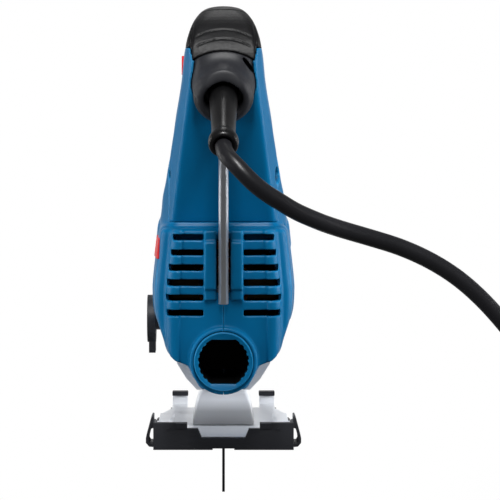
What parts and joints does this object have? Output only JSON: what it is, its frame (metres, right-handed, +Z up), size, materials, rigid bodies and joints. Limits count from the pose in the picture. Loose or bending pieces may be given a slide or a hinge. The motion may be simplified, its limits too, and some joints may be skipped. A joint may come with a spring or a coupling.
{
  "type": "jigsaw power tool",
  "caption": "Corded bow-handle jigsaw with vented motor housing, rear dust port, tilting base with clip-on shoe, hex key and coiled mains cord.",
  "frame": {"origin": "underside of the sole, on the tool's centreline, 32 mm behind the blade's plunger axis", "axes": "+X to the operator's right, +Y forward along the cut, +Z up from the sole to the handle"},
  "size_m": [0.3533, 0.2568, 0.2518],
  "materials": {
    "blue_plastic": "fine-grained moulded plastic, satin",
    "grip_rubber": "moulded soft rubber, matte",
    "cord_rubber": "smooth flexible rubber, slight gloss",
    "black_plastic": "moulded plastic, satin",
    "grey_plastic": "moulded plastic, matte",
    "red_plastic": "smooth moulded plastic",
    "clear_plastic": "clear polycarbonate",
    "steel": "machined",
    "sheet_steel": "pressed sheet, zinc plated",
    "cast_alloy": "die cast, blasted",
    "zinc_plated": "bright zinc plating",
    "blade_steel": "dark blued tool steel",
    "copper": "enamelled copper",
    "brass_parts": "brass",
    "carbon": "pressed carbon"
  },
  "bodies": {
    "housing": {"housing_left": "blue_plastic", "housing_right": "blue_plastic", "handle_grip": "grip_rubber", "case_screw_1": "steel", "case_screw_2": "steel", "case_screw_3": "steel", "case_screw_4": "steel", "case_screw_5": "steel", "case_screw_6": "steel", "dust_port": "blue_plastic", "rear_collar": "black_plastic", "cable_sleeve": "grip_rubber", "cable_clamp": "grey_plastic", "cord": "cord_rubber", "cord_coil": "cord_rubber", "cord_tail": "cord_rubber", "plug_body": "cord_rubber", "plug_pin_left": "brass_parts", "plug_pin_right": "brass_parts", "cord_tie": "cord_rubber", "stator_core": "steel", "field_coil_upper": "copper", "field_coil_lower": "copper", "rear_bearing": "steel", "front_bearing": "steel", "brush_holder_left": "brass_parts", "carbon_brush_left": "carbon", "brush_holder_right": "brass_parts", "carbon_brush_right": "carbon", "gear_housing": "cast_alloy", "gear_axle": "steel", "plunger_bush_upper": "brass_parts", "plunger_bush_lower": "brass_parts", "switch_module": "grey_plastic", "chip_guard": "clear_plastic", "side_badge": "red_plastic"},
    "armature": {"armature_shaft": "steel", "armature_core": "steel", "armature_winding": "copper", "commutator": "copper", "cooling_fan": "black_plastic", "armature_pinion": "steel"},
    "drive_gear": {"drive_gear": "steel"},
    "plunger": {"scotch_yoke": "steel", "plunger_rod": "steel", "blade_clamp": "zinc_plated", "blade": "blade_steel"},
    "trigger": {"trigger": "black_plastic"},
    "speed_dial": {"speed_dial": "black_plastic"},
    "lock_button": {"lock_button": "red_plastic"},
    "orbital_lever": {"orbital_lever": "black_plastic"},
    "release_lever": {"release_lever": "grey_plastic"},
    "roller_fork": {"roller_fork": "steel"},
    "guide_roller": {"guide_roller": "steel"},
    "hex_key": {"hex_key": "zinc_plated"},
    "base": {"base_plate": "sheet_steel", "overshoe": "black_plastic", "saddle": "zinc_plated", "bevel_screw": "steel"}
  },
  "joints": [
    {"name": "armature_spin", "type": "hinge", "parent": "housing", "child": "armature", "pos_m": [0, 0, 0.082], "axis": [0, 1, 0], "continuous": true},
    {"name": "gear_spin", "type": "hinge", "parent": "housing", "child": "drive_gear", "pos_m": [0, 0, 0.104], "axis": [0, 1, 0], "continuous": true},
    {"name": "plunger_stroke", "type": "slide", "parent": "housing", "child": "plunger", "axis": [0, 0, 1], "range_m": [-0.01, 0.01]},
    {"name": "trigger_pull", "type": "slide", "parent": "housing", "child": "trigger", "axis": [0, 0, 1], "range_m": [0, 0.005], "stiffness_N_per_m": 400, "springref_m": -0.003},
    {"name": "speed_dial_turn", "type": "hinge", "parent": "trigger", "child": "speed_dial", "pos_m": [0, -0.0126, 0.1682], "axis": [1, 0, 0], "range_deg": [-150, 150]},
    {"name": "lock_press", "type": "slide", "parent": "housing", "child": "lock_button", "axis": [1, 0, 0], "range_m": [0, 0.0025], "stiffness_N_per_m": 300, "springref_m": -0.002},
    {"name": "orbital_select", "type": "hinge", "parent": "housing", "child": "orbital_lever", "pos_m": [-0.037, 0.02, 0.056], "axis": [1, 0, 0], "range_deg": [0, 90]},
    {"name": "roller_swing", "type": "hinge", "parent": "housing", "child": "roller_fork", "pos_m": [0, 0.018, 0.0435], "axis": [1, 0, 0], "range_deg": [-3, 0]},
    {"name": "roller_spin", "type": "hinge", "parent": "roller_fork", "child": "guide_roller", "pos_m": [0, 0.0208, 0.02], "axis": [1, 0, 0], "continuous": true},
    {"name": "blade_release", "type": "hinge", "parent": "housing", "child": "release_lever", "pos_m": [0, 0.052, 0.064], "axis": [1, 0, 0], "range_deg": [-25, 0], "stiffness_Nm_per_rad": 0.05, "springref_deg": 11.46},
    {"name": "key_withdraw", "type": "slide", "parent": "housing", "child": "hex_key", "axis": [0, -1, 0], "range_m": [0, 0.022]},
    {"name": "base_bevel", "type": "hinge", "parent": "housing", "child": "base", "pos_m": [0, 0, 0.004], "axis": [0, 1, 0], "range_deg": [-45, 45]}
  ],
  "couplings": [
    {"joint": "gear_spin", "follows": "armature_spin", "ratio": -0.17021},
    {"joint": "roller_swing", "follows": "orbital_select", "ratio": -0.033333}
  ]
}
